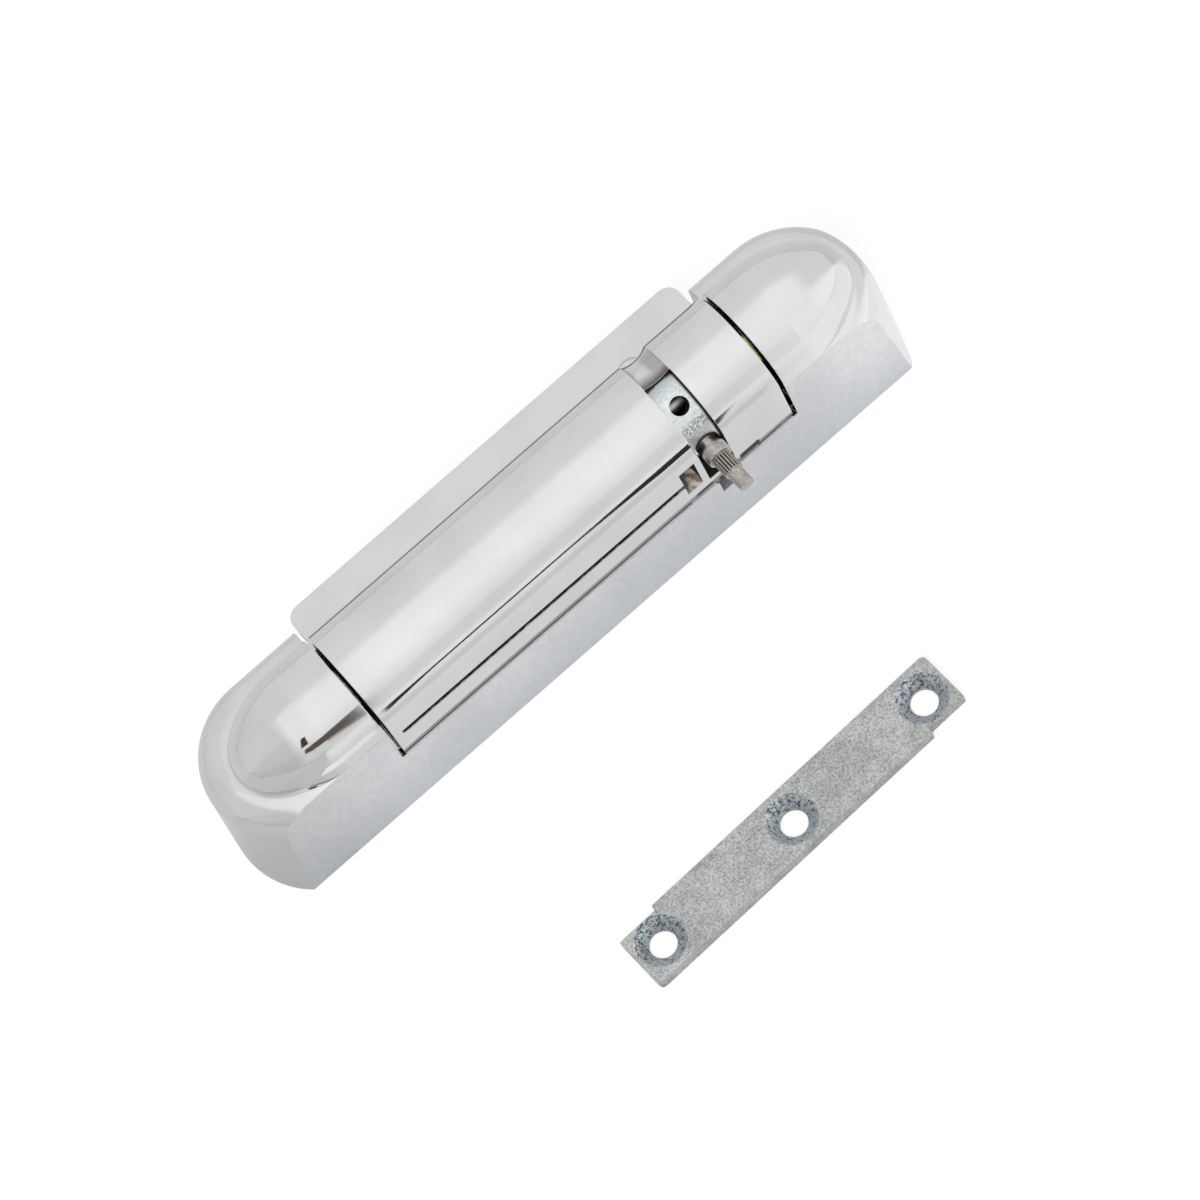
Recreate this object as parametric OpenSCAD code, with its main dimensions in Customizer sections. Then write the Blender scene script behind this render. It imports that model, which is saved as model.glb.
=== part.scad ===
// Adjustable spring hinge with a loose mounting strip, in millimetres.
// X runs along the hinge axis, +Z is up, and Z = 0 is the mounting face of the frame.

/* [Hinge axis] */
// Height of the hinge axis above the mounting face
axis_h = 32.1; // [31:0.1:42]
// Radius of the knuckle barrel and of the ear domes
barrel_r = 11.3; // [11.2:0.1:12]
// Gap between the knuckle and each ear
ear_gap = 0.9; // [0.8:0.05:1.5]

/* [Frame body] */
// Distance from the middle of the knuckle to the centre of the left rounded end
end_left = 62; // [61:0.1:70]
// Distance from the middle of the knuckle to the centre of the right rounded end
end_right = 57.9; // [57:0.1:66]
// Distance of the rounded ends' centres behind the hinge axis
skirt_y = 1.4; // [1:0.1:2]
// Radius of the rounded ends at the shoulder
end_r = 16; // [15.8:0.1:17]
// Radius of the rounded ends at the mounting face
foot_r = 17.6; // [17.2:0.1:18.6]
// Depth of the shoulder round's centre below the hinge axis
shoulder_drop = 6.6; // [6:0.1:9]
// Radius of the shoulder round
shoulder_r = 5.6; // [4:0.1:5.9]
// Distance from the middle of the knuckle to the start of the left dome
dome_left = 55.5; // [54:0.1:58]
// Distance from the middle of the knuckle to the start of the right dome
dome_right = 54; // [52:0.1:56]
// Radius of the dome's long curve
dome_arc_r = 20.8; // [19:0.1:24]
// Radius of the dome's nose
dome_nose_r = 8.5; // [7:0.1:9]
// Radius of the flatter arc that ends the frame on the right
flat_arc_r = 25.6; // [24:0.1:28]
// Wall thickness of the hollow casting
wall_t = 2.8; // [2:0.1:4]
// Thickness of the trough floor under the knuckle
floor_t = 2.4; // [1.5:0.1:3]
// Spacing of the cross ribs in the hollow underside
rib_pitch = 15.5; // [12:0.1:18]
// Thickness of the ribs
rib_t = 2; // [1.4:0.1:3]
// Distance of the lengthwise rib behind the hinge axis
rib_y = 4.6; // [4.2:0.1:6]
// Running clearance between the trough and the turning leaf
trough_gap = 0.5; // [0.3:0.05:1]
// Drop of the frame's near edge below the leaf
edge_gap = 0.6; // [0.4:0.05:1]
// Gap between the folded leaf and the ledge that it rests over
ledge_gap = 0.3; // [0.2:0.05:0.5]

/* [Frame screws] */
// Distance of the outer frame screws from the knuckle's ends
frame_screw_in = 8; // [7:0.05:9.5]
// Distance of the frame screws behind the hinge axis
frame_screw_y = 14.1; // [13.9:0.1:14.3]
// Radius of the frame screw holes
frame_hole_r = 2.1; // [1.6:0.05:2.4]
// Radius of the frame screw countersinks
frame_sink_r = 3.4; // [3:0.1:3.5]
// Radius of the posts round the frame screws
post_r = 4.4; // [4:0.1:5]

/* [Door leaf] */
// Length of the knuckle
knuckle_l = 92; // [90:0.1:96]
// Distance from the hinge axis to the far edge of the flange
leaf_w = 22.4; // [21.8:0.1:26]
// Depth of the leaf's underside below the hinge axis
leaf_drop = 13; // [12.8:0.1:13.4]
// Thickness of the flange
leaf_t = 5; // [4.6:0.1:6]
// Corner radius of the flange
flange_corner_r = 2.7; // [1:0.1:4]
// Edge radius along the knuckle's foot
knuckle_edge_r = 1; // [0.5:0.1:1.5]

/* [Adjusting slot] */
// Distance of the slot's middle from the knuckle's right end
slot_from_end = 16.1; // [15.5:0.1:18]
// Width of the slot
slot_w = 6; // [5.4:0.1:6.4]
// Depth of the slot's lower end below the hinge axis
slot_drop = 10; // [9.6:0.1:10.4]
// How far the slot runs past the top of the barrel
slot_over = 0.6; // [0:0.1:1]
// Depth of the rounded run-out beyond the slot
runout_depth = 0.85; // [0.4:0.05:0.9]
// Distance of the run-out's end from the flange's far edge
runout_margin = 5.8; // [5:0.1:8]
// Width of the small window beside the slot
window_w = 3.5; // [2:0.1:4]
// Height of the small window
window_h = 9; // [6:0.1:9.5]
// Width of the web between window and slot
window_web = 1.3; // [0.8:0.1:2]
// Depth of the parting line below the hinge axis
seam_drop = 5.4; // [3:0.1:9]
// Width of the parting line
seam_w = 0.9; // [0.2:0.05:1]

/* [Pintle] */
// Radius of the pintle
pintle_r = 4; // [3.5:0.05:4.1]
// Depth of the pintle in each ear
pintle_seat = 12; // [10:0.1:13]
// Radial clearance of a shaft in its hole
fit = 0.04; // [0.02:0.01:0.06]
// Distance of the pintle set screws from the ears' inner faces
set_screw_in = 6.5; // [5:0.1:7]
// Radius of the pintle set screws
set_screw_r = 2.5; // [2:0.1:3]
// Length of the pintle set screws
set_screw_l = 10; // [6:0.5:11]

/* [Bushings and washers] */
// Length of each bushing inside the knuckle
bushing_l = 5; // [4:0.1:5.5]
// Thickness of the bushing flanges
bushing_flange_t = 0.4; // [0.3:0.05:0.75]
// Radius of the right bushing's flange
bushing_flange_r = 10.6; // [10.4:0.1:11]
// Radius of the left bushing's flange
left_flange_r = 8.8; // [8:0.1:10.8]
// Thickness of the thrust washers
washer_t = 1; // [0.6:0.1:1.4]
// Gap between neighbouring rings on the pintle
ring_gap = 0.1; // [0.05:0.01:0.15]

/* [Collar and anchor] */
// Radius of the adjusting collar
collar_r = 10; // [9.9:0.05:10.05]
// Length of the adjusting collar
collar_l = 11; // [9:0.1:11.5]
// Radius of the collar's tool holes
collar_hole_r = 1.8; // [1.6:0.05:2]
// Number of tool holes round the collar
collar_holes = 6; // [4:1:8]
// Length of the spring anchor
anchor_l = 7; // [6:0.1:8]
// Radius of the anchor's cross pin
anchor_pin_r = 1.5; // [1:0.1:1.6]

/* [Tension pin] */
// Radius of the pin's body
pin_body_r = 2.45; // [2.2:0.05:2.5]
// Length of the pin's body outside the collar
pin_body_l = 3.9; // [3:0.1:4]
// Radius over the splines
pin_spline_r = 1.88; // [1.7:0.02:2]
// Length of the splines
pin_spline_l = 3.8; // [3:0.1:3.9]
// Radius of the pin's tip
pin_tip_r = 1.5; // [1.2:0.05:1.6]
// Length of the pin's tip
pin_tip_l = 3.4; // [2:0.1:3.5]
// How far the pin pulls out
pin_travel = 6; // [5.5:0.1:6.5]

/* [Spring] */
// Wire diameter of the torsion spring
wire_d = 3; // [2:0.1:3.2]
// Mean radius of the spring's coils
coil_r = 7.6; // [7.2:0.1:7.9]
// Number of coils
coils = 13; // [8:1:14]

/* [Mounting strip] */
// Distance of the outer screw holes from the strip's ends
strip_margin = 5.55; // [5:0.05:7]
// Width of the strip
strip_w = 11.9; // [11.6:0.1:12.2]
// Thickness of the strip
strip_t = 3.2; // [2.6:0.1:3.2]
// Spacing of the strip's screw holes
strip_pitch = 31.75; // [28:0.05:32]
// Radius of the strip's screw holes
strip_hole_r = 2.65; // [2:0.05:2.8]
// Radius of the strip's countersinks
strip_sink_r = 4.9; // [4:0.1:5]
// Depth of the steps at the strip's ends
strip_step = 1.05; // [0.5:0.05:1.5]
// Length of the steps at the strip's ends
strip_step_l = 8.6; // [6:0.1:10]
// Corner radius of the strip
strip_corner_r = 1; // [0.5:0.1:1.5]
// Clearance of the strip in the leaf
strip_gap = 0.3; // [0.2:0.05:0.4]
// Wall between the strip and the flange's far edge
strip_wall = 2.4; // [2:0.1:3]
// Distance of the leaf set screws from the middle
leaf_screw_x = 25; // [20:0.5:30]
// Radius of the leaf set screws
leaf_screw_r = 1.5; // [1:0.1:1.5]
// Place of the loose strip along the hinge axis
strip_x = -2.3; // [-10:0.1:10]
// Distance of the loose strip in front of the hinge axis
strip_y = 63; // [50:0.1:80]
// Turn of the loose strip
strip_turn = 1.6; // [0:0.1:10]

/* [Hidden] */
$fn = 96;

cut = 1;
side_y = barrel_r;
gap_half = knuckle_l / 2 + ear_gap;
frame_screw_pitch = knuckle_l / 2 - frame_screw_in;
strip_l = 2 * (strip_pitch + strip_margin);
chamber_r = collar_r + fit;
trough_r = norm([barrel_r - knuckle_edge_r, leaf_drop - knuckle_edge_r]) + knuckle_edge_r + trough_gap;
cavity_h = axis_h - trough_r - floor_t;
ledge_z = axis_h - leaf_drop - ledge_gap;
pintle_hole_r = pintle_r + fit;
slot_x = knuckle_l / 2 - slot_from_end;
shank_r = collar_hole_r - fit;
pin_inner_r = pintle_r + 1.6;
pin_tip_in = collar_r + pin_body_l + pin_spline_l;
pin_end_r = pin_tip_in + pin_tip_l;
groove_w = 2 * pin_body_r + 0.8;
notch_w = 2 * pin_tip_r + 0.6;
spline_notch_w = 2 * pin_spline_r + 0.6;
groove_back = 9.4;
flat_in = 2.4;
flange_top = axis_h - leaf_drop + leaf_t;
skin = 0.05;
runout_half_w = slot_w / 2 - skin;
runout_r = (pow(runout_half_w, 2) + pow(runout_depth, 2)) / (2 * runout_depth);
seam_in = 1.8;

bushing_in = knuckle_l / 2 - bushing_l;
washer_out = bushing_in - ring_gap;
anchor_out = washer_out - washer_t - ring_gap;
anchor_in = anchor_out - anchor_l;
collar_in = slot_x - collar_l / 2;
collar_out = slot_x + collar_l / 2;
spring_l = anchor_in + collar_in;
tang_l = wire_d + 0.6;
recess_y = leaf_w - strip_wall - strip_w - 2 * strip_gap;
recess_h = strip_t + strip_gap;
leaf_screw_z = axis_h - leaf_drop + recess_h / 2;

// A cylinder along X, from x0 to x1, on the hinge axis
module rod(r, x0, x1) {
  translate([x0, 0, axis_h]) rotate([0, 90, 0]) cylinder(r = r, h = x1 - x0);
}

// A ring along X, from x0 to x1, on the hinge axis
module ring(r, hole_r, x0, x1) {
  difference() {
    rod(r, x0, x1);
    rod(hole_r, x0 - cut, x1 + cut);
  }
}

// Half of the frame's outline: tapered wall and rounded shoulder
module frame_profile() {
  shoulder_z = axis_h - shoulder_drop;
  polygon([[0, 0], [foot_r, 0], [end_r, shoulder_z], [0, shoulder_z]]);
  translate([end_r - shoulder_r, shoulder_z]) circle(r = shoulder_r);
  square([end_r - shoulder_r, shoulder_z + shoulder_r]);
}

// The hollow under the casting, one wall in from the outline, less its ribs
module cavity() {
  inner_r = foot_r - wall_t;
  full_l = 2 * (end_left + end_r);
  rib_count = floor(end_left / rib_pitch + 0.5);
  translate([0, 0, -cut]) difference() {
    intersection() {
      translate([0, skirt_y, 0]) {
        for (x = [-end_left, end_right]) translate([x, 0, 0]) cylinder(r = inner_r, h = cavity_h + cut);
        translate([-end_left, -inner_r, 0]) cube([end_left + end_right, 2 * inner_r, cavity_h + cut]);
      }
      translate([-full_l / 2, wall_t - side_y, 0]) cube([full_l, 2 * end_r, cavity_h + cut]);
    }
    for (i = [-rib_count : rib_count]) translate([i * rib_pitch - rib_t / 2, -end_r, 0])
      cube([rib_t, 3 * end_r, cavity_h + 2 * cut]);
    translate([-full_l / 2, rib_y, 0]) cube([full_l, rib_t, cavity_h + 2 * cut]);
    right_trim(wall_t);
  }
}

// Half outline of a dome along +Y: a long curve that runs into a round nose
module dome_profile() {
  nose_x = sqrt(pow(dome_arc_r - dome_nose_r, 2) - pow(dome_arc_r - barrel_r, 2));
  intersection() {
    translate([barrel_r - dome_arc_r, 0]) circle(r = dome_arc_r);
    square([barrel_r, nose_x * dome_arc_r / (dome_arc_r - dome_nose_r)]);
  }
  intersection() {
    translate([0, nose_x]) circle(r = dome_nose_r);
    square(nose_x + dome_nose_r);
  }
}

module domes() {
  translate([-dome_left, 0, axis_h]) rotate([0, -90, 0]) rotate_extrude() dome_profile();
  translate([dome_right, 0, axis_h]) rotate([0, 90, 0]) rotate_extrude() dome_profile();
}

// What lies outside the flatter arc at the right end
module right_trim(inset) {
  translate([end_right + foot_r - flat_in - flat_arc_r, 0, 0]) difference() {
    translate([0, -2 * flat_arc_r, -2 * cut]) cube([2 * flat_arc_r, 4 * flat_arc_r, 2 * axis_h]);
    translate([0, 0, -3 * cut]) cylinder(r = flat_arc_r - inset, h = 3 * axis_h);
  }
}

// The stadium-shaped skirt, flatter at its right end
module skirt() {
  difference() {
    translate([0, skirt_y, 0]) {
      for (x = [-end_left, end_right]) translate([x, 0, 0]) rotate_extrude() frame_profile();
      rotate([90, 0, 90]) translate([0, 0, -end_left]) linear_extrude(end_left + end_right) {
        frame_profile();
        mirror([1, 0]) frame_profile();
      }
    }
    right_trim(0);
  }
}

module frame_solid() {
  difference() {
    union() {
      skirt();
      domes();
      rod(barrel_r, -dome_left, dome_right);
    }
    translate([-2 * end_left, -side_y - end_r, -cut]) cube([4 * end_left, end_r, 2 * axis_h]);
  }
}

module frame_screw_places() {
  for (step = [-1, 0, 1]) translate([step * frame_screw_pitch, frame_screw_y, 0]) children();
}

// Room for the knuckle, for the leaf's turning corner and for the tension pin
module knuckle_room() {
  near_z = axis_h - leaf_drop - edge_gap;
  translate([-gap_half, -2 * end_r, near_z]) cube([2 * gap_half, 2 * end_r, 2 * axis_h]);
  translate([-gap_half, -cut, ledge_z]) cube([2 * gap_half, 2 * end_r, 2 * axis_h]);
  rod(trough_r, -gap_half, gap_half);
  rod(pin_end_r + 0.4, slot_x - notch_w / 2, slot_x + notch_w / 2);
  rod(pin_tip_in + 0.3, slot_x - spline_notch_w / 2, slot_x + spline_notch_w / 2);
  intersection() {
    rod(pin_end_r + pin_travel + 0.6, slot_x - groove_w / 2, slot_x + groove_w / 2);
    translate([0, wall_t - side_y, -axis_h]) cube([2 * end_left, groove_back + side_y - wall_t, 2 * axis_h]);
  }
}

module frame_body() {
  color("silver") difference() {
    union() {
      difference() {
        frame_solid();
        cavity();
      }
      intersection() {
        frame_solid();
        frame_screw_places() cylinder(r = post_r, h = cavity_h + cut);
      }
    }
    knuckle_room();
    rod(pintle_hole_r, -gap_half - pintle_seat, gap_half + pintle_seat);
    frame_screw_places() {
      translate([0, 0, -cut]) cylinder(r = frame_hole_r, h = axis_h);
      translate([0, 0, ledge_z - frame_sink_r + frame_hole_r])
        cylinder(r1 = frame_hole_r, r2 = frame_sink_r, h = frame_sink_r - frame_hole_r);
    }
    for (side = [-1, 1]) translate([side * (gap_half + set_screw_in), 0, cavity_h - cut])
      cylinder(r = set_screw_r + fit, h = axis_h - cavity_h);
  }
}

// The flange, with its two far corners rounded
module flange() {
  r = flange_corner_r;
  translate([-knuckle_l / 2, 0, axis_h - leaf_drop]) {
    cube([knuckle_l, leaf_w - r, leaf_t]);
    translate([r, 0, 0]) cube([knuckle_l - 2 * r, leaf_w, leaf_t]);
    for (x = [r, knuckle_l - r]) translate([x, leaf_w - r, 0]) cylinder(r = r, h = leaf_t);
  }
}

// The flat near wall and foot of the knuckle, with a rounded lower edge
module knuckle_foot() {
  r = knuckle_edge_r;
  x0 = -knuckle_l / 2;
  translate([x0, -side_y, axis_h - leaf_drop + r]) cube([knuckle_l, side_y, leaf_drop - r]);
  translate([x0, r - side_y, axis_h - leaf_drop]) cube([knuckle_l, side_y - r + cut, leaf_t]);
  translate([x0, r - side_y, axis_h - leaf_drop + r]) rotate([0, 90, 0]) cylinder(r = r, h = knuckle_l);
}

module slot_cut() {
  x0 = slot_x - slot_w / 2;
  translate([x0, -side_y - cut, axis_h - slot_drop])
    cube([slot_w, side_y + cut, slot_drop + barrel_r + cut]);
  translate([x0, -cut, axis_h]) cube([slot_w, cut + slot_over, barrel_r + cut]);
  intersection() {
    translate([x0 - cut, 0, flange_top + cut / 2]) cube([slot_w + 2 * cut, barrel_r + cut, 2 * barrel_r]);
    translate([slot_x, 0, axis_h]) rotate([0, 90, 0]) rotate_extrude()
      translate([barrel_r - runout_depth + runout_r, 0]) circle(r = runout_r);
  }
}

// The shallow round-ended recess in the flange where the run-out meets it
module runout_recess() {
  y0 = sqrt(barrel_r * barrel_r - pow(leaf_drop - leaf_t, 2));
  y1 = leaf_w - runout_margin - runout_half_w;
  translate([slot_x, 0, flange_top - runout_depth]) {
    translate([-runout_half_w, y0, 0]) cube([2 * runout_half_w, y1 - y0, runout_depth + skin]);
    translate([0, y1, 0]) cylinder(r = runout_half_w, h = runout_depth + skin);
  }
}

// The fine parting line on the knuckle's near wall
module seam_cut() {
  translate([seam_in - knuckle_l / 2, -side_y - cut, axis_h - seam_drop])
    cube([slot_x - slot_w - window_w + knuckle_l / 2 - seam_in, cut + seam_w, seam_w]);
}

module window_cut() {
  x1 = slot_x - slot_w / 2 - window_web;
  translate([x1 - window_w, -side_y - cut, axis_h - window_h]) cube([window_w, side_y / 2, window_h]);
}

module strip_recess() {
  l = strip_l + 2 * strip_gap;
  translate([-l / 2, recess_y, axis_h - leaf_drop - cut])
    cube([l, strip_w + 2 * strip_gap, recess_h + cut]);
}

module leaf_screw_places() {
  for (side = [-1, 1]) translate([side * leaf_screw_x, leaf_w, leaf_screw_z]) rotate([90, 0, 0]) children();
}

module door_leaf() {
  color("silver") difference() {
    union() {
      rod(barrel_r, -knuckle_l / 2, knuckle_l / 2);
      knuckle_foot();
      flange();
    }
    rod(chamber_r, -knuckle_l / 2 - cut, knuckle_l / 2 + cut);
    slot_cut();
    runout_recess();
    window_cut();
    seam_cut();
    strip_recess();
    leaf_screw_places() translate([0, 0, -cut]) cylinder(r = leaf_screw_r + fit, h = strip_wall + 2 * cut);
  }
}

module pintle() {
  half = gap_half + pintle_seat - 0.2;
  pin_x = -anchor_out + anchor_l / 2;
  color("lightsteelblue") difference() {
    rod(pintle_r, -half, half);
    translate([pin_x, 0, axis_h - pintle_r - cut])
      cylinder(r = anchor_pin_r + fit, h = 2 * (pintle_r + cut));
  }
}

// A headless screw along +Z with a hexagon socket at its lower end
module set_screw(r, l) {
  difference() {
    cylinder(r = r, h = l);
    translate([0, 0, -cut]) cylinder(r = r / 2, h = l / 3 + cut, $fn = 6);
  }
}

module pintle_set_screws() {
  top_z = axis_h - pintle_r;
  color("dimgray") for (side = [-1, 1])
    translate([side * (gap_half + set_screw_in), 0, top_z - set_screw_l - fit])
      set_screw(set_screw_r, set_screw_l);
}

// A flanged bushing for the knuckle's right end
module bushing(flange_r) {
  ring(collar_r, pintle_hole_r, bushing_in, knuckle_l / 2);
  ring(flange_r, pintle_hole_r, knuckle_l / 2, knuckle_l / 2 + bushing_flange_t);
}

module bushing_left() {
  color("goldenrod") mirror([1, 0, 0]) bushing(left_flange_r);
}

module bushing_right() {
  color("goldenrod") bushing(bushing_flange_r);
}

module thrust_washer_left() {
  color("gray") ring(collar_r - 0.5, pintle_hole_r + 0.1, -washer_out, washer_t - washer_out);
}

module thrust_washer_right() {
  x0 = collar_out + ring_gap;
  color("gray") ring(collar_r - 0.5, pintle_hole_r + 0.1, x0, x0 + washer_t);
}

module spacer_sleeve() {
  x0 = collar_out + washer_t + 2 * ring_gap;
  color("gray") ring(collar_r - 0.1, pintle_r + 1.2, x0, bushing_in - ring_gap);
}

// The blind hole that takes a spring tang, along +X from x0
module tang_hole(angle, x0) {
  translate([0, 0, axis_h]) rotate([angle, 0, 0]) translate([x0, coil_r, 0]) rotate([0, 90, 0])
    cylinder(r = wire_d / 2 + 0.1, h = tang_l + 0.2);
}

module spring_anchor() {
  pin_x = anchor_l / 2 - anchor_out;
  color("gray") difference() {
    ring(collar_r - 0.4, pintle_hole_r, -anchor_out, -anchor_in);
    translate([pin_x, 0, axis_h - collar_r - cut])
      cylinder(r = anchor_pin_r + fit, h = 2 * (collar_r + cut));
    tang_hole(0, -anchor_in - tang_l - 0.2);
  }
}

module anchor_pin() {
  half = collar_r - 1;
  color("dimgray") translate([anchor_l / 2 - anchor_out, 0, axis_h - half])
    cylinder(r = anchor_pin_r, h = 2 * half);
}

module spring_guide() {
  guide_r = coil_r - wire_d / 2 - 0.6;
  color("ivory") ring(guide_r, pintle_hole_r + 0.06, ring_gap - anchor_in, collar_in - ring_gap);
}

// The collar has radial tool holes, one of them along -Y for the tension pin
module adjusting_collar() {
  color("lightslategray") difference() {
    ring(collar_r, pin_inner_r - 0.4, collar_in, collar_out);
    translate([slot_x, 0, axis_h]) for (i = [0 : collar_holes - 1])
      rotate([90 + i * 360 / collar_holes, 0, 0]) cylinder(r = collar_hole_r, h = collar_r + cut);
    tang_hole(spring_end_angle, collar_in);
  }
}

// The tension pin, built along +Z from its inner end
module pin_shape() {
  shank_l = collar_r - pin_inner_r + 0.1;
  cylinder(r = shank_r, h = shank_l);
  translate([0, 0, shank_l]) cylinder(r = pin_body_r, h = pin_body_l - 0.1);
  translate([0, 0, pin_tip_in - pin_inner_r - pin_spline_l]) splines();
  translate([0, 0, pin_tip_in - pin_inner_r]) cylinder(r = pin_tip_r, h = pin_tip_l);
}

// Fine teeth round the pin's middle
module splines() {
  teeth = 18;
  tooth_r = PI * pin_spline_r / teeth / 2;
  cylinder(r = pin_spline_r - tooth_r, h = pin_spline_l);
  for (i = [0 : teeth - 1]) rotate(i * 360 / teeth) translate([pin_spline_r - tooth_r, 0, 0])
    cylinder(r = tooth_r, h = pin_spline_l, $fn = 16);
}

module tension_pin() {
  color("darkgray") translate([slot_x, -pin_inner_r, axis_h]) rotate([90, 0, 0]) pin_shape();
}

// The spring's centre line: a straight tang, the coils and a straight tang
spring_steps = 16;
spring_sides = 8;
lead = wire_d;
coil_l = spring_l - 2 * lead;
spring_end_angle = 150;
spring_turn = 360 * coils + spring_end_angle;
ring_count = round(spring_steps * spring_turn / 360);

function coil_point(i) =
  let (a = spring_turn * i / ring_count)
  [lead + coil_l * i / ring_count, coil_r * cos(a), coil_r * sin(a)];

spring_path = concat(
  [[-tang_l, coil_r, 0], [0, coil_r, 0]],
  [for (i = [0 : ring_count]) coil_point(i)],
  [[spring_l, coil_r * cos(spring_turn), coil_r * sin(spring_turn)],
   [spring_l + tang_l, coil_r * cos(spring_turn), coil_r * sin(spring_turn)]]
);

function unit(v) = v / norm(v);
function path_dir(p, i) = unit(p[min(i + 1, len(p) - 1)] - p[max(i - 1, 0)]);

// Ring of points round point i, with one side turned towards the hinge axis
function wire_ring(p, i) =
  let (
    t = path_dir(p, i),
    radial = unit([0, p[i][1], p[i][2]]),
    n = unit(radial - (radial * t) * t),
    b = cross(t, n)
  )
  [for (k = [0 : spring_sides - 1])
    let (a = 360 * k / spring_sides)
    p[i] + wire_d / 2 * (cos(a) * n + sin(a) * b)];

module tube(p) {
  s = spring_sides;
  n = len(p);
  points = [for (i = [0 : n - 1]) each wire_ring(p, i)];
  sides = [for (i = [0 : n - 2], k = [0 : s - 1], half = [0, 1])
    let (a = i * s + k, b = i * s + (k + 1) % s)
    half == 0 ? [a, a + s, b] : [b, a + s, b + s]];
  start = [for (k = [1 : s - 2]) [0, k, k + 1]];
  finish = [for (k = [1 : s - 2]) [(n - 1) * s, (n - 1) * s + k + 1, (n - 1) * s + k]];
  polyhedron(points = points, faces = concat(sides, start, finish), convexity = 10);
}

// Least gap between neighbouring coils, measured on the centre line
one_turn = round(spring_steps);
coil_gaps = [for (i = [0 : ring_count - one_turn], j = [one_turn - 2 : one_turn + 2])
  if (i + j <= ring_count) norm(coil_point(i + j) - coil_point(i)) - wire_d];
echo(least_spring_gap = min(coil_gaps));

module torsion_spring() {
  color("gray") translate([-anchor_in, 0, axis_h]) tube(spring_path);
}

module leaf_set_screws() {
  color("dimgray") leaf_screw_places() translate([0, 0, 0.2]) set_screw(leaf_screw_r, strip_wall - 0.2);
}

// The strip's outline: a rounded bar with one step at each end
module strip_blank() {
  r = strip_corner_r;
  l = strip_l;
  w = strip_w;
  difference() {
    union() {
      translate([-l / 2 + r, -w / 2, 0]) cube([l - 2 * r, w, strip_t]);
      translate([-l / 2, -w / 2 + r, 0]) cube([l, w - 2 * r, strip_t]);
      for (x = [-1, 1], y = [-1, 1]) translate([x * (l / 2 - r), y * (w / 2 - r), 0])
        cylinder(r = r, h = strip_t);
    }
    for (turn = [0, 180]) rotate(turn) translate([l / 2 - strip_step_l, -w / 2 - cut, -cut])
      cube([strip_step_l + cut, strip_step + cut, strip_t + 2 * cut]);
  }
}

module mounting_strip() {
  sink_h = strip_sink_r - strip_hole_r;
  color("darkgray") translate([strip_x, -strip_y, 0]) rotate(strip_turn) difference() {
    strip_blank();
    for (step = [-1, 0, 1]) translate([step * strip_pitch, 0, 0]) {
      translate([0, 0, -cut]) cylinder(r = strip_hole_r, h = strip_t + 2 * cut);
      translate([0, 0, strip_t - sink_h]) cylinder(r1 = strip_hole_r, r2 = strip_sink_r, h = sink_h);
    }
  }
}

frame_body();
door_leaf();
pintle();
pintle_set_screws();
bushing_left();
bushing_right();
thrust_washer_left();
thrust_washer_right();
spacer_sleeve();
spring_anchor();
anchor_pin();
torsion_spring();
spring_guide();
adjusting_collar();
tension_pin();
leaf_set_screws();
mounting_strip();
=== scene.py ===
import math

import bmesh
import bpy
from mathutils import Matrix, Vector

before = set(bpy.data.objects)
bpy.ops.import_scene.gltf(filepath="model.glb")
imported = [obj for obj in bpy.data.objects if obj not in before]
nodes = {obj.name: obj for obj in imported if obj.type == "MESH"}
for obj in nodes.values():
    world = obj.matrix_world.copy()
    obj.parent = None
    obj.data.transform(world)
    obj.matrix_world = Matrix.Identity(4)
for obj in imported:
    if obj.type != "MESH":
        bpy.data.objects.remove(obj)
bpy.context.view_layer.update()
hingeAxis = Vector((0, 0, 0.0321))
pinAcross = 0.0299  # the pin and the middle of its slot, to the right of the hinge's middle
print("frame loaded:", len(nodes), "nodes")


# sRGB 0-255 to the linear colour that a socket takes
def linear(red, green, blue):
    shades = [c / 255 for c in (red, green, blue)]
    return [s / 12.92 if s <= 0.04045 else ((s + 0.055) / 1.055) ** 2.4 for s in shades] + [1]


def grey(light):
    return [light] * 3 + [1]


cameraPlace = {
    "turn": 3.98,  # degrees off the line square to the hinge axis
    "height": 66.55,  # degrees above the floor
    "roll": 41.11,  # the hinge axis climbs to the right in the picture
    "distance": 1.081,
    "lens": 182.9,
    "sensor": 36,
    "clip": (0.05, 30),
    "along": -0.00248,  # picture centre from the hinge axis, in the axis's own directions
    "down": 0.01766,
}


def placeCamera(place):
    turn, height, roll = (math.radians(place[k]) for k in ("turn", "height", "roll"))
    right = Vector((math.cos(turn), -math.sin(turn) * math.cos(height), math.sin(turn) * math.sin(height)))
    down = Vector((0, -math.sin(height), -math.cos(height)))
    target = hingeAxis + place["along"] * right + place["down"] * down
    cameraRight = math.cos(roll) * right + math.sin(roll) * down
    cameraUp = math.sin(roll) * right - math.cos(roll) * down
    back = cameraRight.cross(cameraUp)
    data = bpy.data.cameras.new("photoCamera")
    data.lens = place["lens"]
    data.sensor_width = place["sensor"]
    data.clip_start, data.clip_end = place["clip"]
    camera = bpy.data.objects.new("photoCamera", data)
    bpy.context.scene.collection.objects.link(camera)
    turned = Matrix((cameraRight, cameraUp, back)).transposed().to_4x4()
    camera.matrix_world = Matrix.Translation(target + place["distance"] * back) @ turned
    bpy.context.scene.camera = camera


placeCamera(cameraPlace)
print("camera placed")


def put(tree, kind, **values):
    node = tree.nodes.new("ShaderNode" + kind)
    for key, value in values.items():
        if hasattr(node, key):
            setattr(node, key, value)
        else:
            node.inputs[key.replace("_", " ")].default_value = value
    return node


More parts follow.
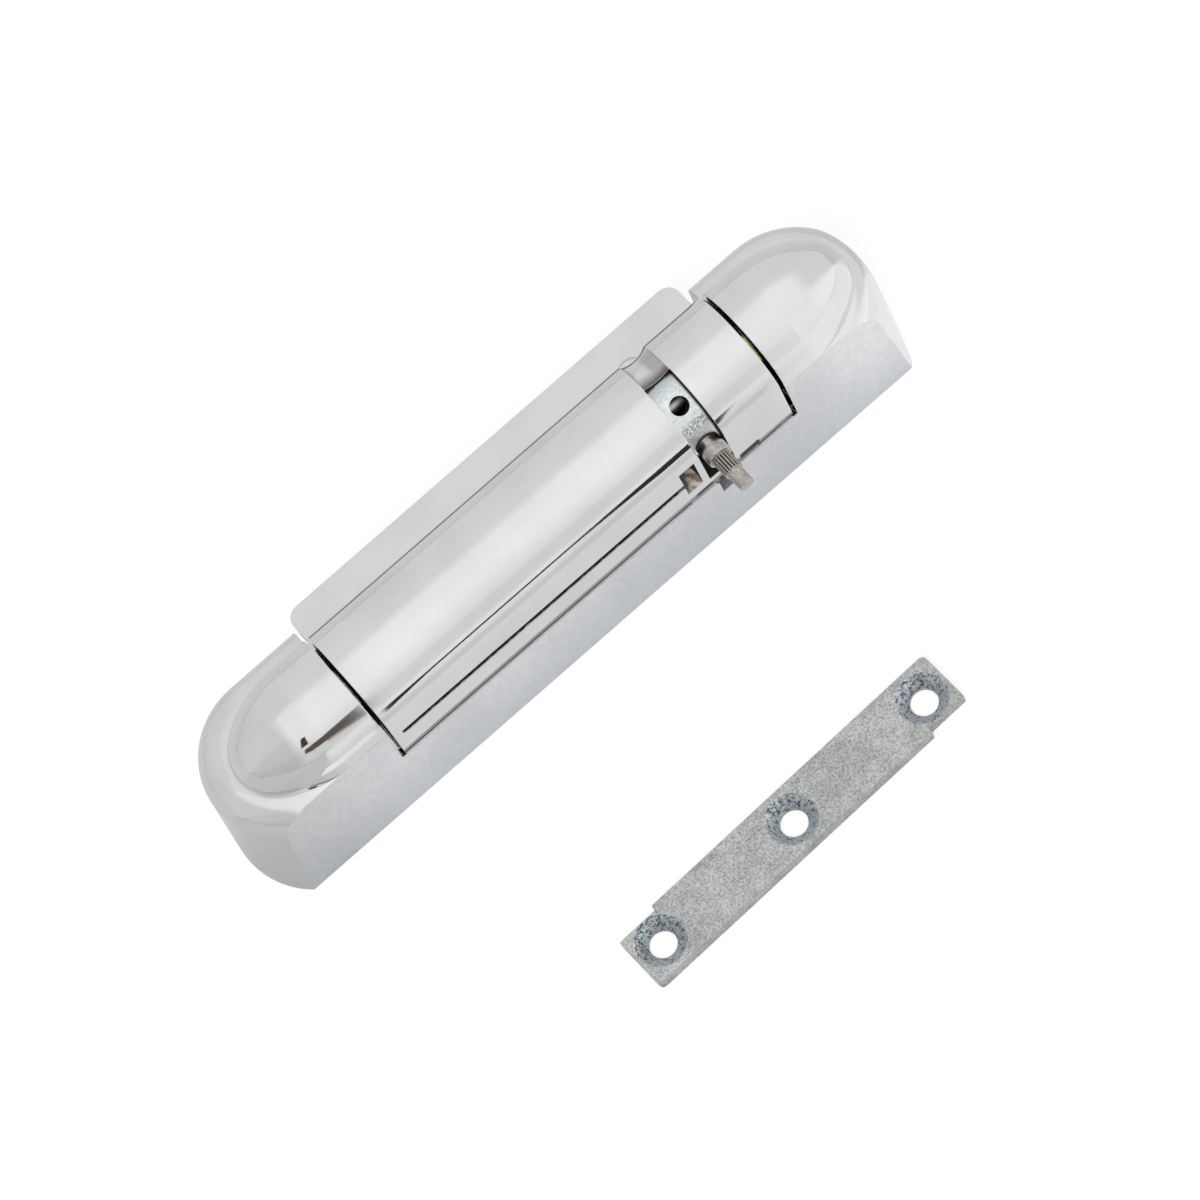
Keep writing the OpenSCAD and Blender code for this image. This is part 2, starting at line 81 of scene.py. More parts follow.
def maths(tree, operation, first, second=None, clamp=False):
    node = tree.nodes.new("ShaderNodeMath")
    node.operation = operation
    node.use_clamp = clamp
    for slot, value in enumerate((first, second)):
        if isinstance(value, (int, float)):
            node.inputs[slot].default_value = value
        elif value is not None:
            tree.links.new(value, node.inputs[slot])
    return node.outputs[0]


def addShare(tree, value, other, share):
    return maths(tree, "ADD", value, maths(tree, "MULTIPLY", other, share))


def distance(tree, first, second):
    return maths(tree, "SQRT", addShare(tree, maths(tree, "MULTIPLY", first, first), second, second))


# 0 below low and 1 above high, or the other way round where low is the larger
def step(tree, value, low, high):
    return maths(tree, "MULTIPLY", maths(tree, "SUBTRACT", value, low), 1 / (high - low), clamp=True)


def both(tree, *masks):
    product = masks[0]
    for mask in masks[1:]:
        product = maths(tree, "MULTIPLY", product, mask)
    return product


# 1 where all the limits hold: each says a direction, where it begins and where it holds in full
def within(tree, places, limits):
    return both(tree, *[step(tree, places[way], low, high) for way, low, high in limits])


def ramp(tree, factor, stops, smooth=True):
    node = tree.nodes.new("ShaderNodeValToRGB")
    node.color_ramp.interpolation = "EASE" if smooth else "LINEAR"
    elements = node.color_ramp.elements
    elements.remove(elements[1])
    elements[0].position = stops[0][0]
    elements[0].color = grey(stops[0][1])
    for place, shade in stops[1:]:
        elements.new(place).color = grey(shade)
    tree.links.new(factor, node.inputs[0])
    return node.outputs[0]


def mixColour(tree, factor, first, second, blend="MIX"):
    node = tree.nodes.new("ShaderNodeMix")
    node.data_type = "RGBA"
    node.blend_type = blend
    for slot, value in ((0, factor), (6, first), (7, second)):
        if hasattr(value, "links"):
            tree.links.new(value, node.inputs[slot])
        else:
            node.inputs[slot].default_value = value
    return node.outputs[2]


def noise(tree, vector, scale, detail=2, roughness=0.5):
    node = put(tree, "TexNoise", Scale=scale, Detail=detail, Roughness=roughness)
    tree.links.new(vector, node.inputs["Vector"])
    return node.outputs["Fac"]


def split(tree, vector):
    parts = put(tree, "SeparateXYZ")
    tree.links.new(vector, parts.inputs[0])
    return parts.outputs["X"], parts.outputs["Y"], parts.outputs["Z"]


# x, y, the height over the hinge axis, the distance from that axis, and how far aside of the pin
def axisPlaces(tree, place):
    across, deep, up = split(tree, place)
    high = maths(tree, "SUBTRACT", up, hingeAxis.z)
    aside = maths(tree, "ABSOLUTE", maths(tree, "SUBTRACT", across, pinAcross))
    return {"across": across, "deep": deep, "high": high, "reach": distance(tree, deep, high), "aside": aside}


def makeGroup(name, inputs, outputs):
    group = bpy.data.node_groups.new(name, "ShaderNodeTree")
    for label, kind, value in inputs:
        socket = group.interface.new_socket(label, in_out="INPUT", socket_type="NodeSocket" + kind)
        if value is not None:
            socket.default_value = value
    for label, kind in outputs:
        group.interface.new_socket(label, in_out="OUTPUT", socket_type="NodeSocket" + kind)
    return group, group.nodes.new("NodeGroupInput"), group.nodes.new("NodeGroupOutput")


# slow ripples of a polished casting and a finer skin
def castWavesGroup():
    group, given, made = makeGroup(
        "castWaves",
        [("Vector", "Vector", None), ("Ripple", "Float", 60), ("Skin", "Float", 900), ("Skin share", "Float", 0.1)],
        [("Height", "Float")],
    )
    slow = put(group, "TexNoise", Detail=1)
    fine = put(group, "TexNoise", Detail=3)
    for node, scale in ((slow, "Ripple"), (fine, "Skin")):
        group.links.new(given.outputs["Vector"], node.inputs["Vector"])
        group.links.new(given.outputs[scale], node.inputs["Scale"])
    height = addShare(group, slow.outputs["Fac"], fine.outputs["Fac"], given.outputs["Skin share"])
    group.links.new(height, made.inputs["Height"])
    return group


# clouds, grain and small dark specks of bare metal that has been handled
mottleLook = {
    "noises": [("Cloud", 4, 0.65), ("Grain", 3, 0.7), ("Speck", 2, 0.6)],  # scale input, detail, roughness
    "clouds": [(0.35, 0), (0.65, 1)],
    "grains": [(0.38, 0), (0.62, 1)],
    "specks": [(0.58, 0), (0.68, 1)],
    "cloudShare": 0.4,
    "grainShare": 0.6,
    "grainHeight": 0.6,
}


def mottleGroup(look):
    group, given, made = makeGroup(
        "mottle",
        [
            ("Vector", "Vector", None), ("Cloud", "Float", 200), ("Grain", "Float", 1500),
            ("Speck", "Float", 1800), ("Speck amount", "Float", 0.3),
        ],
        [("Cloud", "Float"), ("Specks", "Float"), ("Height", "Float")],
    )
    found = {}
    for name, detail, roughness in look["noises"]:
        node = put(group, "TexNoise", Detail=detail, Roughness=roughness)
        group.links.new(given.outputs["Vector"], node.inputs["Vector"])
        group.links.new(given.outputs[name], node.inputs["Scale"])
        found[name] = node.outputs["Fac"]
    clouds = maths(group, "MULTIPLY", ramp(group, found["Cloud"], look["clouds"]), look["cloudShare"])
    blend = addShare(group, clouds, ramp(group, found["Grain"], look["grains"]), look["grainShare"])
    specks = maths(group, "MULTIPLY", ramp(group, found["Speck"], look["specks"]), given.outputs["Speck amount"])
    height = maths(group, "SUBTRACT", maths(group, "MULTIPLY", found["Grain"], look["grainHeight"]), specks)
    group.links.new(blend, made.inputs["Cloud"])
    group.links.new(specks, made.inputs["Specks"])
    group.links.new(height, made.inputs["Height"])
    return group


# 1 near a point, fading to 0 over a soft edge
def spotGroup():
    group, given, made = makeGroup(
        "spot",
        [
            ("Vector", "Vector", None), ("Centre", "Vector", None),
            ("Size", "Vector", (0.003, 0.003, 0.003)), ("Edge", "Float", 0.3),
        ],
        [("Mask", "Float")],
    )
    away = put(group, "VectorMath", operation="SUBTRACT")
    group.links.new(given.outputs["Vector"], away.inputs[0])
    group.links.new(given.outputs["Centre"], away.inputs[1])
    scaled = put(group, "VectorMath", operation="DIVIDE")
    group.links.new(away.outputs[0], scaled.inputs[0])
    group.links.new(given.outputs["Size"], scaled.inputs[1])
    reach = put(group, "VectorMath", operation="LENGTH")
    group.links.new(scaled.outputs[0], reach.inputs[0])
    inside = maths(group, "SUBTRACT", 1, reach.outputs["Value"])
    group.links.new(maths(group, "DIVIDE", inside, given.outputs["Edge"], clamp=True), made.inputs["Mask"])
    return group


effects = {"castWaves": castWavesGroup(), "mottle": mottleGroup(mottleLook), "spot": spotGroup()}


def effect(tree, name, vector, **values):
    node = tree.nodes.new("ShaderNodeGroup")
    node.node_tree = effects[name]
    tree.links.new(vector, node.inputs["Vector"])
    for key, value in values.items():
        node.inputs[key.replace("_", " ")].default_value = value
    return node


def newMaterial(name, metallic, roughness):
    material = bpy.data.materials.new(name)
    material.use_nodes = True
    tree = material.node_tree
    shader = tree.nodes["Principled BSDF"]
    shader.inputs["Metallic"].default_value = metallic
    shader.inputs["Roughness"].default_value = roughness
    return material, tree, shader


def objectPlace(tree):
    return put(tree, "TexCoord").outputs["Object"]


def addBump(tree, shader, height, depth, edge=0.0):
    bump = put(tree, "Bump", Strength=1, Distance=depth)
    tree.links.new(height, bump.inputs["Height"])
    if edge:
        rounded = put(tree, "Bevel", samples=6, Radius=edge)
        tree.links.new(rounded.outputs[0], bump.inputs["Normal"])
    tree.links.new(bump.outputs[0], shader.inputs["Normal"])


# the polished castings: frame and leaf
chrome = {
    "colour": linear(234, 235, 234),
    "shade": linear(228, 229, 229),
    "smudge": 90,
    "smudgeTones": (0.35, 0.7),
    "roughness": (0.03, 0.075),
    "ripple": 45,
    "skin": 700,
    "skinShare": 0.02,
    "depth": 0.00004,
    "edge": 0.0003,
}
# the unpolished side face of the frame, and the cut under the pin, which has the same skin; painted shade darkens the
# face towards its foot
satinFace = {
    "face": [("deep", -0.01127, -0.01129), ("high", -0.0005, -0.0007)],
    "cut": [("aside", 0.0082, 0.0080), ("high", -0.0122, -0.0124), ("deep", -0.0030, -0.0034)],
    "colour": linear(240, 241, 243),
    "dull": linear(224, 226, 229),
    "cloud": 60,
    "cloudTones": [(0.3, 0), (0.7, 1)],
    # painted shade: the face turns to this darker colour towards its foot, over the heights below
    "foot": linear(214, 217, 222),
    "footHeights": (-0.014, -0.032),
    "stretch": (1, 1, 0.45),
    "peel": 950,  # the skin's dimples in one metre
    "peelTones": [(0.4, 0.12), (0.62, 0)],
    "peelColour": linear(178, 184, 192),
    "peelDepth": 3.5,
    "grain": 2400,
    "grainDepth": 0.2,
    "grainRough": 0.12,
    "roughness": 0.25,
    "metal": 0.55,
}
# the leaf's dark raw inside, partly painted shade, and around the slot the painted shade in the scoop, near-black
# patches at the knuckle's lower edge and the rusty window floor
rawInsideAndShade = {
    "colour": linear(88, 80, 72),
    "dark": linear(44, 40, 38),
    "blotch": 900,
    "roughness": 0.55,
    # the dark raw colour below is partly painted shade on the leaf's inner faces, slot walls and seam groove
    "barrel": [("reach", 0.01123, 0.0112), ("deep", 0.0007, 0.00066)],
    "walls": [
        ("deep", 0.0007, 0.00066), ("deep", -0.01125, -0.01121),
        ("high", -0.0119, -0.01186), ("high", -0.0003, -0.0004),
    ],
    "seam": [
        ("high", -0.0061, -0.0056), ("high", -0.0044, -0.00448),
        ("across", -0.0443, -0.0439), ("across", 0.0232, 0.0226), ("deep", -0.008, -0.0082),
    ],
    "seamTones": [(0.30, 0.65), (0.55, 1)],
    "scoop": [
        ("aside", 0.0035, 0.0034), ("deep", 0.0007, 0.0008),
        ("deep", 0.0085, 0.0075), ("reach", 0.01129, 0.01125),
    ],
    # painted shade in the slot's scoop, brownish: darkest at its sides and next to the slot
    "scoopShades": [("aside", 0.0023, 0.0034, 1), ("deep", 0.0034, 0.0008, 0.9), ("across", 0.0297, 0.0307, 0.32)],
    "scoopShade": linear(70, 58, 52),
    "lip": [("high", -0.0110, -0.0114), ("deep", -0.0107, -0.0110)],
    "lipColour": linear(150, 152, 158),
    # near-black patches on the knuckle's lower edge, either side of the pin
    "lipPatches": [
        [
            ("across", 0.0337, 0.03385), ("across", 0.0383, 0.03815),
            ("high", -0.0105, -0.0106), ("deep", -0.0107, -0.0110),
        ],
        [
            ("across", 0.0233, 0.02345), ("across", 0.0272, 0.02705),
            ("high", -0.0113, -0.0114), ("deep", -0.0107, -0.0110),
        ],
    ],
    "patchColour": linear(30, 28, 28),
    "window": [
        ("across", 0.0214, 0.0215), ("across", 0.0260, 0.0259), ("high", -0.0094, -0.0093),
        ("high", -0.0086, -0.0087), ("deep", -0.0060, -0.0062), ("deep", -0.01128, -0.01122),
    ],
    "windowColour": linear(236, 228, 216),
    "rust": linear(160, 138, 118),
    "rustTones": [(0.4, 0), (0.6, 1)],
}


def satinSide(tree, place, colour, polish, height):
    look, places = satinFace, axisPlaces(tree, place)
    mask = maths(tree, "MAXIMUM", within(tree, places, look["face"]), within(tree, places, look["cut"]))
    tall = put(tree, "Mapping")
    tall.inputs["Scale"].default_value = look["stretch"]
    tree.links.new(place, tall.inputs["Vector"])
    peel = noise(tree, tall.outputs[0], look["peel"])
    grain = noise(tree, tall.outputs[0], look["grain"], detail=3, roughness=0.65)
    cloud = ramp(tree, noise(tree, tall.outputs[0], look["cloud"], detail=3), look["cloudTones"])
    satin = mixColour(tree, cloud, look["colour"], look["dull"])
    # painted shade towards the foot of the face
    satin = mixColour(tree, step(tree, places["high"], *look["footHeights"]), satin, look["foot"])
    satin = mixColour(tree, ramp(tree, peel, look["peelTones"]), satin, look["peelColour"])
    colour = mixColour(tree, mask, colour, satin)
    polish = addShare(tree, polish, mask, addShare(tree, look["roughness"], grain, look["grainRough"]))
    dimples = addShare(tree, maths(tree, "MULTIPLY", peel, look["peelDepth"]), grain, look["grainDepth"])
    height = addShare(tree, height, mask, dimples)
    metal = maths(tree, "SUBTRACT", 1, maths(tree, "MULTIPLY", mask, 1 - look["metal"]))
    return colour, polish, height, metal


def leafInside(tree, place, colour, polish, height):
    look, places = rawInsideAndShade, axisPlaces(tree, place)
    blotch = noise(tree, place, look["blotch"], detail=3)
    # painted shade in the scoop beside the slot, darker at its sides and next to the slot
    scoopShade = 0
    for way, low, high, strength in look["scoopShades"]:
        shadeStep = maths(tree, "MULTIPLY", step(tree, places[way], low, high), strength)
        scoopShade = maths(tree, "MAXIMUM", scoopShade, shadeStep)
    colour = mixColour(tree, both(tree, within(tree, places, look["scoop"]), scoopShade), colour, look["scoopShade"])
    colour = mixColour(tree, within(tree, places, look["lip"]), colour, look["lipColour"])
    # near-black patches on the knuckle's lower edge
    for limits in look["lipPatches"]:
        colour = mixColour(tree, within(tree, places, limits), colour, look["patchColour"])
    # dark raw metal with painted shade on the inner faces, the slot walls and in the blotchy seam groove
    hollow = both(tree, within(tree, places, look["seam"]), ramp(tree, blotch, look["seamTones"]))
    for part in ("barrel", "walls"):
        hollow = maths(tree, "MAXIMUM", hollow, within(tree, places, look[part]))
    colour = mixColour(tree, hollow, colour, mixColour(tree, blotch, look["colour"], look["dark"]))
    window = within(tree, places, look["window"])
    rust = mixColour(tree, ramp(tree, blotch, look["rustTones"]), look["windowColour"], look["rust"])
    colour = mixColour(tree, window, colour, rust)
    polish = addShare(tree, polish, hollow, look["roughness"])
    return colour, polish, height, maths(tree, "SUBTRACT", 1, window)


def chromeMaterial(name, extra):
    smooth, rough = chrome["roughness"]
    clean, smudged = chrome["smudgeTones"]
    material, tree, shader = newMaterial(name, 1, smooth)
    place = objectPlace(tree)
    waves = effect(
        tree, "castWaves", place, Ripple=chrome["ripple"], Skin=chrome["skin"], Skin_share=chrome["skinShare"]
    )
    smudge = noise(tree, place, chrome["smudge"], detail=3)
    polish = ramp(tree, smudge, [(clean, smooth), (smudged, rough)])
    colour = mixColour(tree, ramp(tree, smudge, [(clean, 0), (smudged, 1)]), chrome["colour"], chrome["shade"])
    colour, polish, height, metal = extra(tree, place, colour, polish, waves.outputs["Height"])
    tree.links.new(colour, shader.inputs["Base Color"])
    tree.links.new(polish, shader.inputs["Roughness"])
    tree.links.new(metal, shader.inputs["Metallic"])
    addBump(tree, shader, height, chrome["depth"], chrome["edge"])
    return material


bareMetals = {
    "collarZinc": {
        "colour": linear(246, 247, 248), "dark": linear(214, 219, 222), "speckColour": linear(120, 128, 134),
        "roughness": 0.25, "cloud": 300, "grain": 1700, "speck": 1500, "specks": 0.2, "bump": 0.00005, "edge": 0.0002,
    },
    "stripZinc": {
        "colour": linear(220, 221, 220), "dark": linear(164, 166, 167), "speckColour": linear(96, 100, 104),
        "roughness": 0.40, "cloud": 160, "grain": 2400, "speck": 2800, "specks": 0.5, "bump": 0.00012, "edge": 0.00025,
    },
    "anchorZinc": {
        "colour": linear(190, 192, 194), "dark": linear(150, 154, 158), "speckColour": linear(100, 104, 108),
        "roughness": 0.35, "cloud": 240, "grain": 1500, "speck": 1500, "specks": 0.2, "bump": 0.00005, "edge": 0.0002,
    },
    "pinSteel": {
        "colour": linear(214, 209, 202), "dark": linear(168, 161, 153), "speckColour": linear(84, 78, 72),
        "roughness": 0.24, "cloud": 420, "grain": 2200, "speck": 2600, "specks": 0.3, "bump": 0.00003, "edge": 0.00015,
    },
    "groundSteel": {
        "colour": linear(196, 198, 200), "dark": linear(170, 172, 175), "speckColour": linear(120, 122, 126),
        "roughness": 0.22, "cloud": 300, "grain": 1800, "speck": 2400, "specks": 0.1, "bump": 0.00002, "edge": 0.0002,
    },
    "darkSteel": {
        "colour": linear(96, 96, 98), "dark": linear(60, 60, 62), "speckColour": linear(36, 36, 38),
        "roughness": 0.38, "cloud": 320, "grain": 1800, "speck": 2400, "specks": 0.3, "bump": 0.00003, "edge": 0.00015,
    },
    "bearingBrass": {
        "colour": linear(208, 190, 122), "dark": linear(160, 140, 80), "speckColour": linear(110, 92, 50),
        "roughness": 0.24, "cloud": 260, "grain": 1500, "speck": 2000, "specks": 0.15, "bump": 0.00003, "edge": 0.0002,
    },
}
cloudRough = {"share": 0.12, "less": 0.04}  # clouds roughen a bare metal, around its own roughness


def bareMetal(name, extra=None):
    settings = bareMetals[name]
    material, tree, shader = newMaterial(name, 1, settings["roughness"])
    place = objectPlace(tree)
    mottle = effect(
        tree, "mottle", place,
        Cloud=settings["cloud"], Grain=settings["grain"], Speck=settings["speck"], Speck_amount=settings["specks"],
    )
    colour = mixColour(tree, mottle.outputs["Cloud"], settings["colour"], settings["dark"])
    colour = mixColour(tree, mottle.outputs["Specks"], colour, settings["speckColour"])
    rough = addShare(tree, settings["roughness"] - cloudRough["less"], mottle.outputs["Cloud"], cloudRough["share"])
    height = mottle.outputs["Height"]
    if extra:
        colour, rough, height = extra(tree, place, colour, rough, height)
    tree.links.new(colour, shader.inputs["Base Color"])
    tree.links.new(rough, shader.inputs["Roughness"])
    addBump(tree, shader, height, settings["bump"], settings["edge"])
    return material


# the collar: scarred over the pin, shaded towards the back, dark at its right edge, and painted black as shade in its
# tool holes
collarPatch = {
    "centre": (pinAcross, -0.0086, 0.0375),
    "size": (0.0040, 0.0016, 0.0016),
    "soft": 0.35,
    "scar": 2600,
    "scarTones": [(0.48, 0), (0.58, 1)],
    "colour": linear(172, 178, 182),
    "rougher": 0.15,
    "dent": 0.8,
    "shade": linear(182, 196, 195),
    "shadeDepths": (-0.0035, 0.0006),
    "edge": (0.0323, 0.0327),
    "edgeColour": linear(52, 56, 56),
    # painted shade: the tool holes' insides are painted near-black
    "hole": (0.00995, 0.0099),
    "holeColour": linear(12, 12, 13),
    "holeRougher": 0.3,
}


def scarredPatch(tree, place, colour, rough, height):
    look, places = collarPatch, axisPlaces(tree, place)
    patch = effect(tree, "spot", place, Centre=look["centre"], Size=look["size"], Edge=look["soft"])
    scar = noise(tree, place, look["scar"], detail=3, roughness=0.7)
    dents = both(tree, patch.outputs["Mask"], ramp(tree, scar, look["scarTones"]))
    # painted shade inside the tool holes
    hole = step(tree, places["reach"], *look["hole"])
    colour = mixColour(tree, step(tree, places["deep"], *look["shadeDepths"]), colour, look["shade"])
    colour = mixColour(tree, dents, colour, look["colour"])
    colour = mixColour(tree, step(tree, places["across"], *look["edge"]), colour, look["edgeColour"])
    colour = mixColour(tree, hole, colour, look["holeColour"])
    rough = addShare(tree, rough, dents, look["rougher"])
    rough = addShare(tree, rough, hole, look["holeRougher"])
    height = addShare(tree, height, dents, -look["dent"])
    return colour, rough, height


# darker colour in the valleys between the pin's splines
pinValleys = {
    "valley": (0.00186, 0.00172),
    "splines": [("deep", -0.0176, -0.0175), ("deep", -0.0140, -0.0141)],
    "colour": linear(84, 76, 68),
    "rougher": 0.3,
}


def darkSplineValleys(tree, place, colour, rough, height):
    places = axisPlaces(tree, place)
    valley = step(tree, distance(tree, places["aside"], places["high"]), *pinValleys["valley"])
    mask = both(tree, valley, within(tree, places, pinValleys["splines"]))
    colour = mixColour(tree, mask, colour, pinValleys["colour"])
    return colour, addShare(tree, rough, mask, pinValleys["rougher"]), height


# painted shade: the bushings' flanges are painted near-black, as shade in the gaps, with bare brass at one place
flangeShade = {
    "bareSpot": (0.0464, -0.0060, 0.0408),
    "size": (0.002, 0.0036, 0.0024),
    "soft": 0.25,
    "colour": linear(26, 23, 20),
    "rougher": 0.25,
}


def shadedFlanges(tree, place, colour, rough, height):
    bareSpot = effect(tree, "spot", place, Centre=flangeShade["bareSpot"], Size=flangeShade["size"], Edge=flangeShade["soft"])
    cover = maths(tree, "SUBTRACT", 1, bareSpot.outputs["Mask"])
    # painted shade over the bushing, except at the bare spot
    colour = mixColour(tree, cover, colour, flangeShade["colour"])
    return colour, addShare(tree, rough, cover, flangeShade["rougher"]), height


# blue-grey cut metal in the strip's countersinks and holes, with painted shade deeper down
strip = {
    "centre": (-0.0023, -0.063),
    "turn": 1.6,
    "pitch": 0.03175,
    "sink": (0.0050, 0.0049),
    "top": (0.00317, 0.00312),
    "colour": linear(218, 225, 229),
    "dark": linear(92, 106, 116),
    "scratch": 1500,
    "scratchTones": [(0.48, 0), (0.62, 1)],
    "shadeHeights": (0.0032, 0.0008),
    "shadeShare": 0.35,
    "smoother": 0.12,
}


def sunkHoles(tree, place, colour, rough, height):
    flat = put(tree, "Mapping", vector_type="TEXTURE")
    flat.inputs["Location"].default_value = (*strip["centre"], 0)
    flat.inputs["Rotation"].default_value = (0, 0, math.radians(strip["turn"]))
    tree.links.new(place, flat.inputs["Vector"])
    across, deep, high = split(tree, flat.outputs[0])
    across = maths(tree, "ABSOLUTE", across)
    across = maths(tree, "MINIMUM", across, maths(tree, "ABSOLUTE", maths(tree, "SUBTRACT", across, strip["pitch"])))
    mask = both(tree, step(tree, distance(tree, across, deep), *strip["sink"]), step(tree, high, *strip["top"]))
    scratch = ramp(tree, noise(tree, place, strip["scratch"], detail=4, roughness=0.75), strip["scratchTones"])
    # painted shade, darker deeper down in the countersinks
    shade = maths(tree, "MULTIPLY", step(tree, high, *strip["shadeHeights"]), strip["shadeShare"])
    cut = mixColour(tree, maths(tree, "MAXIMUM", scratch, shade), strip["colour"], strip["dark"])
    colour = mixColour(tree, mask, colour, cut)
    rough = addShare(tree, rough, mask, -strip["smoother"])
    return colour, rough, addShare(tree, height, mask, scratch)


nylon = {
    "colour": linear(226, 222, 208),
    "shade": linear(210, 206, 190),
    "roughness": 0.5,
    "cloud": 200,
    "grain": 1200,
    "depth": 0.00002,
}


def nylonMaterial(settings):
    material, tree, shader = newMaterial("guideNylon", 0, settings["roughness"])
    place = objectPlace(tree)
    colour = mixColour(tree, noise(tree, place, settings["cloud"]), settings["colour"], settings["shade"])
    tree.links.new(colour, shader.inputs["Base Color"])
    addBump(tree, shader, noise(tree, place, settings["grain"]), settings["depth"])
    return material


finishes = {
    "frame_body": chromeMaterial("frameChrome", satinSide),
    "door_leaf": chromeMaterial("leafChrome", leafInside),
    "adjusting_collar": bareMetal("collarZinc", scarredPatch),
    "mounting_strip": bareMetal("stripZinc", sunkHoles),
    "spring_anchor": bareMetal("anchorZinc"),
    "tension_pin": bareMetal("pinSteel", darkSplineValleys),
    "pintle": bareMetal("groundSteel"),
    "torsion_spring": bareMetal("darkSteel"),
    "bushing_left": bareMetal("bearingBrass", shadedFlanges),
    "spring_guide": nylonMaterial(nylon),
}
sameFinish = {
    "pintle": ("thrust_washer_left", "thrust_washer_right", "spacer_sleeve"),
    "torsion_spring": ("anchor_pin", "pintle_set_screws", "leaf_set_screws"),
    "bushing_left": ("bushing_right",),
}
for first, others in sameFinish.items():
    for other in others:
        finishes[other] = finishes[first]
for name, material in finishes.items():
    for slot in nodes[name].material_slots:
        slot.material = material
print("finishes:", len(set(finishes.values())), "materials on", len(finishes), "nodes")


def addFlat(name, corners, material):
    mesh = bpy.data.meshes.new(name)
    shape = bmesh.new()
    shape.faces.new([shape.verts.new(corner) for corner in corners])
    shape.to_mesh(mesh)
    shape.free()
    mesh.materials.append(material)
    flat = bpy.data.objects.new(name, mesh)
    bpy.context.scene.collection.objects.link(flat)
    return flat


# the floor, and how metal sees it: a glow that changes to the front, and a flat glow at each side and behind
floorLook = {
    "half": 3.0,
    "colour": 0.42,
    "roughness": 0.9,
    "glow": 0.64,
    "rampScale": 2,
    "middle": [(0.0, 0.38), (0.040, 0.34), (0.054, 0.30), (0.074, 0.31), (0.14, 0.40), (0.22, 0.44), (0.40, 0.40)],
    "sides": [  # glow, where it begins and is full, and how far that border leans by metre to the front
        (0.13, (-0.050, -0.066), 0.09),
        (0.50, (0.043, 0.059), -0.14),
    ],
    "behind": (0.21, (0, -0.02)),
}


def makeFloor(look):
    material, tree, shader = newMaterial("paperFloor", 0, look["roughness"])
    shader.inputs["Base Color"].default_value = grey(look["colour"])
    shader.inputs["Specular IOR Level"].default_value = 0
    shader.inputs["Emission Color"].default_value = grey(1)
    across, deep, _ = split(tree, objectPlace(tree))
    toFront = maths(tree, "MULTIPLY", deep, -1)
    scale = look["rampScale"]
    stops = [(scale * far, glow) for far, glow in look["middle"]]
    shine = ramp(tree, maths(tree, "MULTIPLY", toFront, scale), stops, smooth=False)
    for glow, border, lean in look["sides"]:
        side = step(tree, addShare(tree, across, toFront, lean), *border)
        shine = mixColour(tree, side, shine, grey(glow))
    glow, border = look["behind"]
    shine = mixColour(tree, step(tree, toFront, *border), shine, grey(glow))
    rays = put(tree, "LightPath")
    seen = maths(tree, "MULTIPLY", rays.outputs["Is Camera Ray"], look["glow"])
    mirrored = maths(tree, "MAXIMUM", rays.outputs["Is Glossy Ray"], rays.outputs["Is Transmission Ray"])
    strength = maths(tree, "MAXIMUM", seen, maths(tree, "MULTIPLY", mirrored, shine))
    tree.links.new(strength, shader.inputs["Emission Strength"])
    half = look["half"]
    floor = addFlat("floor", [(-half, -half, 0), (half, -half, 0), (half, half, 0), (-half, half, 0)], material)


# studio cards that only reflections show: corners in metres and how bright they look
cards = {
    "darkBoard": {  # lies in front and gives the thin dark line along the knuckle
        "colour": (0.03, 0.03, 0.04, 1),
        "corners": [
            (-0.0385, -0.205, 0.0004), (0.058, -0.205, 0.0004), (0.0434, -0.097, 0.0004), (0.0287, -0.097, 0.0004),
            (0.0099, -0.151, 0.0004), (-0.027, -0.151, 0.0004), (-0.041, -0.106, 0.0004),
        ],
    },
    "brownBoard": {  # stands in front on the left
        "colour": (0.12, 0.09, 0.07, 1),
        "corners": [
            (-0.0387, -0.300, 0.055), (-0.0387, -0.300, 0.204), (-0.183, -0.300, 0.204), (-0.183, -0.300, 0.151),
            (-0.050, -0.300, 0.131),
        ],
    },
    "blackBlob": {  # hangs over the brown one
        "colour": (0.05, 0.05, 0.05, 1),
        "corners": [
            (-0.148, -0.301, 0.248), (-0.208, -0.301, 0.248), (-0.208, -0.301, 0.408), (-0.160, -0.301, 0.400),
        ],
    },
    "paleStrip": {  # lies close to the left end
        "colour": (0.94, 0.94, 0.94, 1),
        "corners": [
            (-0.072, -0.066, 0.0006), (-0.072, -0.043, 0.0006), (-0.0465, -0.043, 0.0006), (-0.0465, -0.066, 0.0006),
        ],
    },
    "backShade": {  # lies behind the flange and darkens the line where the knuckle rises from it
        "colour": (0.20, 0.20, 0.20, 1),
        "nearest": (0.0455, 0.0460),  # metal that is nearer doesn't see it, such as the top of the frame's back wall
        "corners": [
            (-0.0453, 0.028, 0.0006), (0.051, 0.028, 0.0006), (0.051, 0.062, 0.0006), (-0.0453, 0.062, 0.0006),
        ],
    },
    "stripShield": {  # stands before the strip, which would mirror as a second dark line
        "colour": (0.68, 0.68, 0.69, 1),
        "corners": [
            (-0.0462, -0.0521, 0.0), (0.0495, -0.0495, 0.0), (0.0495, -0.0495, 0.0155), (-0.0462, -0.0521, 0.0155),
        ],
    },
}


def makeCard(name, look):
    material, tree, shader = newMaterial(name, 0, 1)
    shader.inputs["Base Color"].default_value = grey(0)
    shader.inputs["Specular IOR Level"].default_value = 0
    shader.inputs["Emission Color"].default_value = look["colour"]
    shader.inputs["Emission Strength"].default_value = 1
    if "nearest" in look:
        far = step(tree, put(tree, "LightPath").outputs["Ray Length"], *look["nearest"])
        tree.links.new(far, shader.inputs["Alpha"])
    card = addFlat(name, look["corners"], material)
    card.visible_camera = card.visible_diffuse = card.visible_shadow = card.visible_transmission = False


